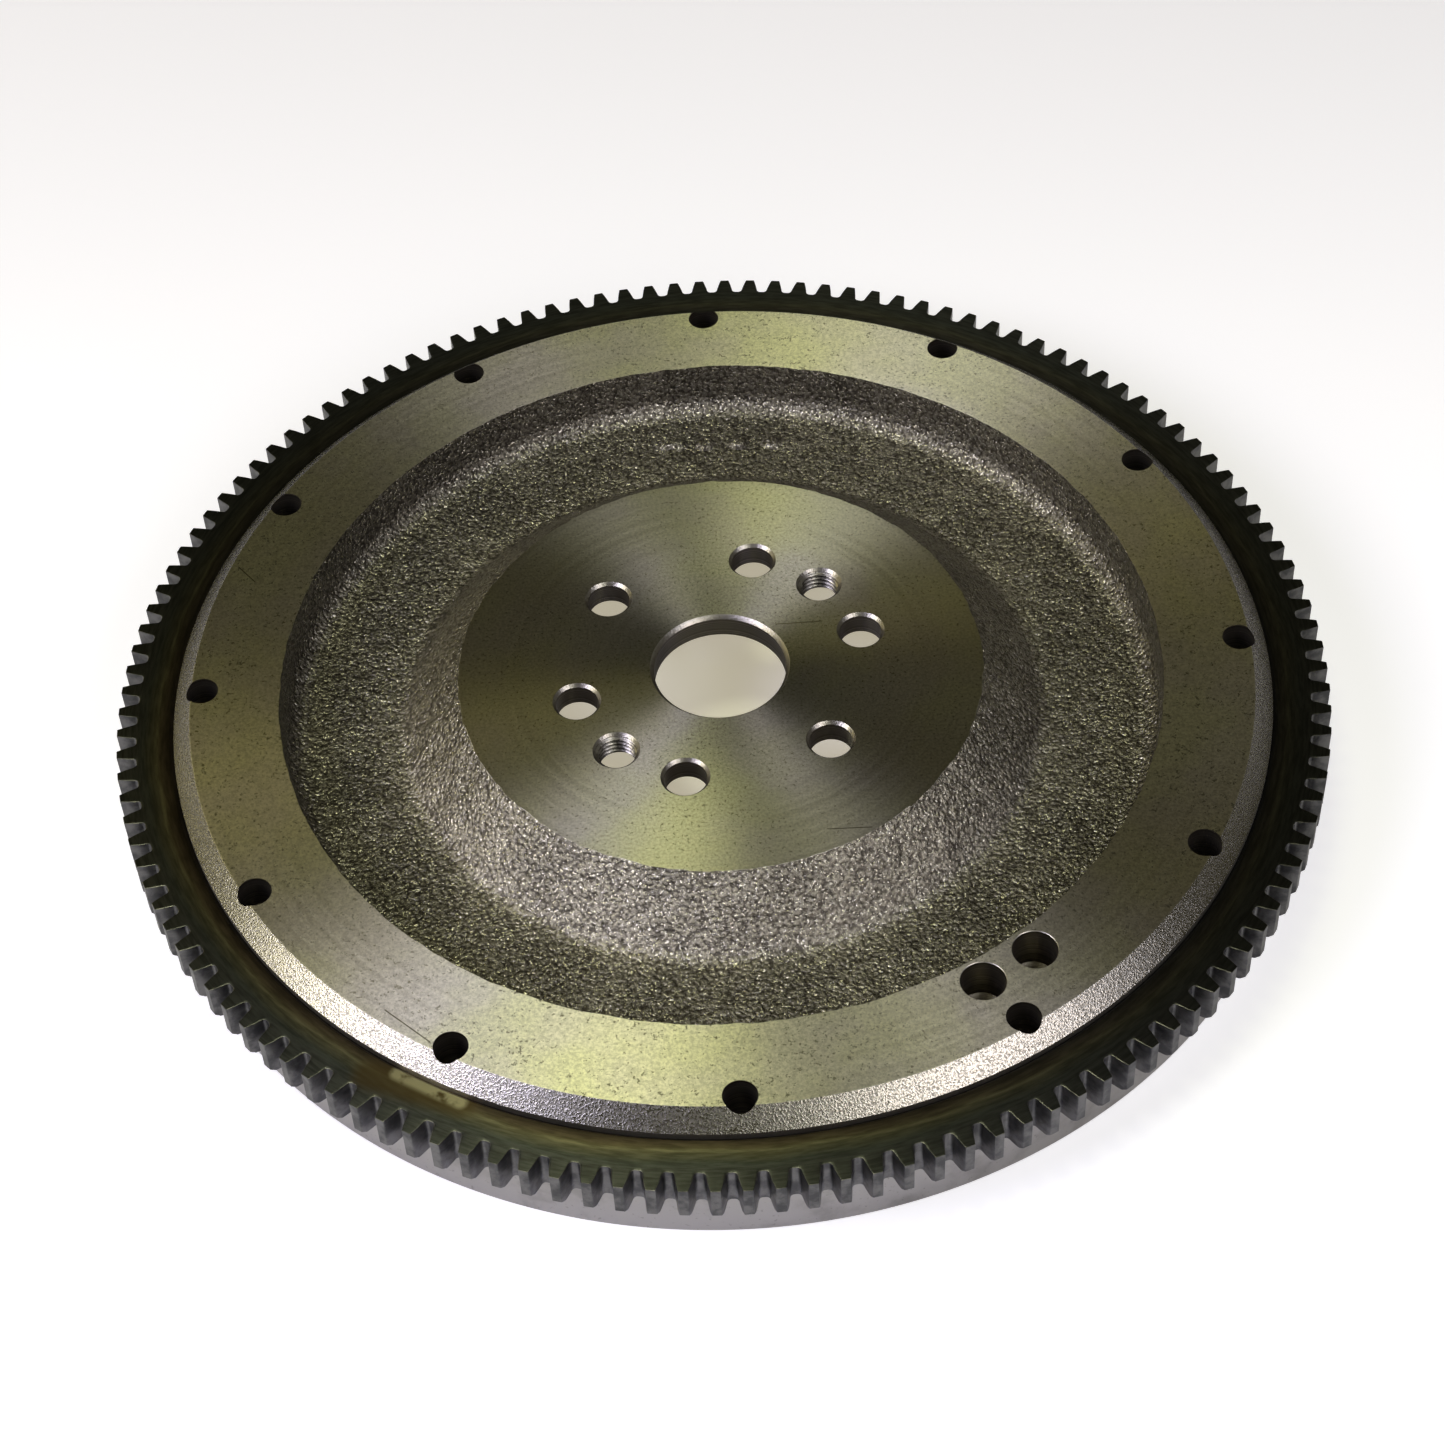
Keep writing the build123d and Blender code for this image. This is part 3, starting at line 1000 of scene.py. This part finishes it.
@dataclass
class RingGear:
    """The starter ring gear: a steel ring with straight involute teeth."""

    teeth: int = 132
    module: float = 25.4 / 12
    pressure_angle: float = 14.5
    dedendum_share: float = 1.157
    root_fillet: float = 0.9
    phase: float = 0.3
    bore_radius: float = 128.4
    bore_chamfer: float = 0.9
    top: float = -4.4
    bottom: float = -14.4
    end_bevel: float = 1.0
    burr: float = 0.14
    bottom_land: float = 134.0
    top_land: float = 136.6
    tip_rounding: float = 0.12
    half_land: float = 0.4
    flank_samples: int = 400
    curve_points: int = 7

    def flank_angle(self, radius: Array | float) -> Array:
        """Half the angle that a tooth takes at a radius.

        It is pi / (2 teeth) plus the involute of the pressure angle, less the involute of the
        angle whose cosine is base radius / radius. The involute of an angle is tan(a) - a.
        """
        pressure = radians(self.pressure_angle)
        base = self.module * self.teeth / 2 * np.cos(pressure)
        angle = np.arccos(base / radius)
        return (np.pi / (2 * self.teeth) + np.tan(pressure) - pressure - np.tan(angle) + angle)

    def half_space(self) -> tuple[Array, Array]:
        """Outline from the middle of a tooth space to the middle of the next tooth.

        The root circle runs to the fillet, whose circle touches the root and the flank: its
        centre is the flank's offset by the fillet radius, where that offset is one fillet radius
        above the root. The involute runs from there to the tip, which has a small rounding.

        Returns:
            Angle from the middle of the space, and radius, of each point.
        """
        pitch = self.module * self.teeth / 2
        root = pitch - self.dedendum_share * self.module
        tip = pitch + self.module
        half_pitch = np.pi / self.teeth
        number = np.arange(self.flank_samples)
        radius = np.linspace(root, tip, self.flank_samples)
        flank = on_circles(radius, half_pitch - self.flank_angle(radius))
        offset = flank + self.root_fillet * right_of(np.gradient(flank, axis=0))
        spot = np.interp(root + self.root_fillet, np.hypot(*offset.T), number)
        centre = np.array([np.interp(spot, number, offset[:, k]) for k in (0, 1)])
        touch = np.array([np.interp(spot, number, flank[:, k]) for k in (0, 1)])
        on_root = centre * root / np.hypot(*centre)
        first, last = on_root - centre, touch - centre
        start, end = np.arctan2(first[1], first[0]), np.arctan2(last[1], last[0])
        sweep = (end - start + np.pi) % (2 * np.pi) - np.pi
        arc = start + sweep * np.linspace(0, 1, self.curve_points)
        fillet = centre + on_circles(self.root_fillet, arc)
        rounding = self.tip_rounding
        rise = np.linspace(np.hypot(*touch), tip - rounding, self.curve_points)[1:]
        flank_turn = half_pitch - self.flank_angle(rise)
        tip_turn = half_pitch - self.flank_angle(tip)
        cap = [tip_turn + rounding / 4 / tip, tip_turn + rounding / tip,
               half_pitch - self.half_land / tip]
        angle = np.concatenate([[0.0], np.arctan2(fillet[:, 1], fillet[:, 0]), flank_turn, cap])
        far = np.concatenate([[root], np.hypot(*fillet.T), rise, [tip - 0.05, tip, tip]])
        return angle, far

    def outline(self) -> Array:
        """Outline of all teeth as an N x 2 array, anticlockwise."""
        angle, far = self.half_space()
        pitch_angle = 2 * np.pi / self.teeth
        one = np.concatenate([angle, pitch_angle - angle[:0:-1]])
        radius = np.concatenate([far, far[:0:-1]])
        start = radians(self.phase) - pitch_angle / 2
        turn = start + pitch_angle * np.arange(self.teeth)[:, None] + one[None, :]
        return on_circles(np.tile(radius, self.teeth), turn.ravel())

    def build(self) -> Object:
        """Make the ring, dress it, and let it stand for its CAD node.

        Row i of the grid is the outline moved inwards along its own normal by the row's inset,
        or a plain circle at the bore, and column j goes round the teeth. On the rows of the end
        bevel no point lies further out than the bevel's cone.
        """
        edge = self.outline()
        outward = right_of(np.roll(edge, -1, axis=0) - np.roll(edge, 1, axis=0))
        circle = edge / np.linalg.norm(edge, axis=1)[:, None]
        tip = self.module * (self.teeth / 2 + 1)
        burr = self.burr
        rows = []

        def toothed(inset: float, height: float, cone: float = np.inf) -> None:
            """Add a row that follows the teeth."""
            place = edge - inset * outward
            far = np.linalg.norm(place, axis=1)
            place = place * (np.minimum(far, cone) / far)[:, None]
            rows.append(np.column_stack([place, np.full(len(edge), height)]))

        def plain(radius: float, height: float) -> None:
            """Add a row that is a circle."""
            rows.append(np.column_stack([circle * radius, np.full(len(edge), height)]))

        top, bottom, bevel = self.top, self.bottom, self.end_bevel
        plain(self.bore_radius, bottom)
        plain(self.bottom_land, bottom)
        toothed(0.05, bottom, tip - bevel - 0.05)
        toothed(0.0, bottom + 0.05, tip - bevel)
        toothed(0.0, bottom + bevel / 2, tip - bevel / 2)
        toothed(0.0, bottom + bevel, tip)
        toothed(0.0, top - burr)
        toothed(burr * 0.3, top - burr * 0.3)
        toothed(burr, top)
        plain(self.top_land, top)
        plain(self.bore_radius + self.bore_chamfer + 0.1, top)
        plain(self.bore_radius + self.bore_chamfer, top - 0.02)
        plain(self.bore_radius, top - self.bore_chamfer)
        points = np.concatenate(rows)
        ring = mesh_object("starter_ring_gear", points, loop_faces(len(rows), len(edge)))
        row = np.repeat(np.arange(len(rows)), len(edge))
        toothed_rows = (row >= 2) & (row < 8)
        zone = np.where(toothed_rows, int(RingZone.TEETH), int(RingZone.FACE))
        for finish in (HeatTintedSteel, ToothSteel):
            ring.data.materials.append(finish().build())
        ring.data.polygons.foreach_set("material_index", zone.astype(np.int32))
        smooth_and_weighted(ring, 32.0)
        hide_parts("ring_gear")
        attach(ring, "root")
        return ring


# -------- studio


@dataclass
class Camera:
    """The camera: it looks down at the wheel from its near side."""

    sensor: float = 36.0
    lens: float = 77.21439
    elevation: float = 47.692
    distance: float = 725.25
    pan: float = -0.01327
    tilt: float = -1.08114
    roll: float = -3.35606
    turn: float = 0.47
    aim_height: float = 0.4

    def place(self) -> Matrix:
        """Matrix of the camera.

        The line of sight points at the wheel's axis at aim_height. Pan and tilt move it by their
        tangents along the frame's right and up, then the frame rolls, and everything turns about
        Z.
        """
        up_angle, roll = radians(self.elevation), radians(self.roll)
        sight = np.array([0, np.cos(up_angle), -np.sin(up_angle)])
        right = np.array([1.0, 0, 0])
        up = np.cross(right, sight)
        sight_moved = sight + np.tan(radians(self.pan)) * right + np.tan(radians(self.tilt)) * up
        sight_moved /= np.linalg.norm(sight_moved)
        level = np.cross(sight_moved, [0, 0, 1.0])
        level /= np.linalg.norm(level)
        upright = np.cross(level, sight_moved)
        frame_right = np.cos(roll) * level + np.sin(roll) * upright
        frame_up = -np.sin(roll) * level + np.cos(roll) * upright
        eye = -self.distance * sight + np.array([0, 0, self.aim_height])
        place = np.eye(4)
        place[:3, :3] = np.stack([frame_right, frame_up, -sight_moved], axis=1)
        place[:3, 3] = eye * MM
        return Matrix.Rotation(radians(self.turn), 4, "Z") @ Matrix(place.tolist())

    def build(self) -> Object:
        """Make the camera and use it."""
        data = bpy.data.cameras.new("camera")
        data.sensor_width = self.sensor
        data.lens = self.lens
        data.clip_start = 0.01
        camera = linked("camera", data)
        camera.matrix_world = self.place()
        bpy.context.scene.camera = camera
        return camera


@dataclass
class Softbox:
    """A square area light that looks at the wheel."""

    name: str
    place: tuple[float, float, float]
    side: float
    power: float
    colour: Colour = (1.0, 1.0, 1.0)

    def build(self) -> Object:
        """Make the light."""
        data = bpy.data.lights.new(self.name, "AREA")
        data.size = self.side
        data.energy = self.power
        data.color = self.colour
        light = linked(self.name, data)
        light.location = self.place
        light.rotation_euler = (-Vector(self.place)).to_track_quat("-Z", "Y").to_euler()
        return light


@dataclass
class Studio:
    """Pale floor, dim warm room, and soft lights."""

    floor_side: float = 12.0
    gap: float = 0.05
    floor_colour: Colour = (0.71, 0.71, 0.80)
    near_glow: Colour = (0.62, 0.62, 0.62)
    far_glow: Colour = (0.28, 0.27, 0.29)
    # painted shadow: a dimmer glow of the floor under the wheel
    painted_shadow_glow: Colour = (0.44, 0.40, 0.30)
    reflected_glow: float = 0.1
    room: Colour = (0.044, 0.038, 0.018)
    lights: list[Softbox] = field(default_factory=lambda: [
        Softbox("top_light", (-0.26, 0.10, 1.6), 0.40, 6.25, (0.98, 1.0, 0.58)),
        Softbox("left_light", (-1.15, -0.58, 1.12), 0.70, 13.2, (0.80, 0.78, 1.0)),
        Softbox("left_low_light", (-1.35, -0.35, 0.80), 0.60, 5.6, (1.0, 0.94, 0.60)),
        Softbox("right_light", (1.02, -0.84, 1.12), 0.70, 6.0, (0.90, 0.90, 1.0)),
        Softbox("front_light", (0.60, -0.95, 1.20), 0.50, 2.4, (0.96, 1.0, 0.80)),
        Softbox("right_low_light", (0.96, -1.09, 0.74), 0.50, 3.9, (1.0, 0.86, 0.72)),
        Softbox("left_fill", (-1.35, 0.75, 0.75), 0.70, 2.2, (1.0, 0.88, 0.40)),
        Softbox("right_fill", (1.35, 0.80, 0.80), 0.70, 0.4, (1.0, 1.0, 0.9)),
    ])

    def floor(self) -> Object:
        """Make the floor just under the wheel's clutch face, with a painted shadow under the wheel
        and a painted falloff of light from the near side to the far side.
        """
        half = self.floor_side / 2 / MM
        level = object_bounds()[0][2] / MM - self.gap
        corners = np.array([[-half, -half, level], [half, -half, level], [half, half, level],
                            [-half, half, level]])
        plane = mesh_object("floor", corners, np.array([[0, 1, 2, 3]]))
        g = Graph("pale_floor")
        place = g.position()
        # Painted shadow: the floor glows less under the wheel.
        below = g.between(g.radius(place), 112.0, 137.0)
        # Painted falloff of light: the floor's glow fades from the near side to the far side.
        far = g.between(g.axes(place)[1], -250.0, 450.0)
        open_glow = g.mix(far, self.near_glow, self.far_glow)
        glow = g.mix(below, self.painted_shadow_glow, open_glow)
        direct = g.node("ShaderNodeLightPath").outputs["Is Camera Ray"]
        seen = g.between(direct, 0.0, 1.0, self.reflected_glow, 1.0)
        plane.data.materials.append(g.finish({
            "Base Color": self.floor_colour, "Roughness": 0.9, "Specular IOR Level": 0.1,
            "Emission Color": glow, "Emission Strength": seen,
        }))
        plane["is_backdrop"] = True
        return plane

    def build(self) -> None:
        """Make the room, the floor and the lights."""
        world = bpy.data.worlds.new("room")
        world.use_nodes = True
        world.node_tree.nodes["Background"].inputs[0].default_value = (*self.room, 1.0)
        bpy.context.scene.world = world
        bpy.context.scene.view_settings.view_transform = "Standard"
        self.floor()
        for light in self.lights:
            light.build()


def main() -> None:
    """Build the flywheel around the frame."""
    logging.basicConfig(level=logging.INFO, format="%(name)s: %(message)s")
    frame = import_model()
    log.info("frame has %d nodes", len(frame["nodes"]))
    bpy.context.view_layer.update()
    Studio().build()
    Camera().build()
    for part in (FlywheelDisc(), RingGear()):
        piece = part.build()
        log.info("%s has %d faces", piece.name, len(piece.data.polygons))


if __name__ == "__main__":
    main()
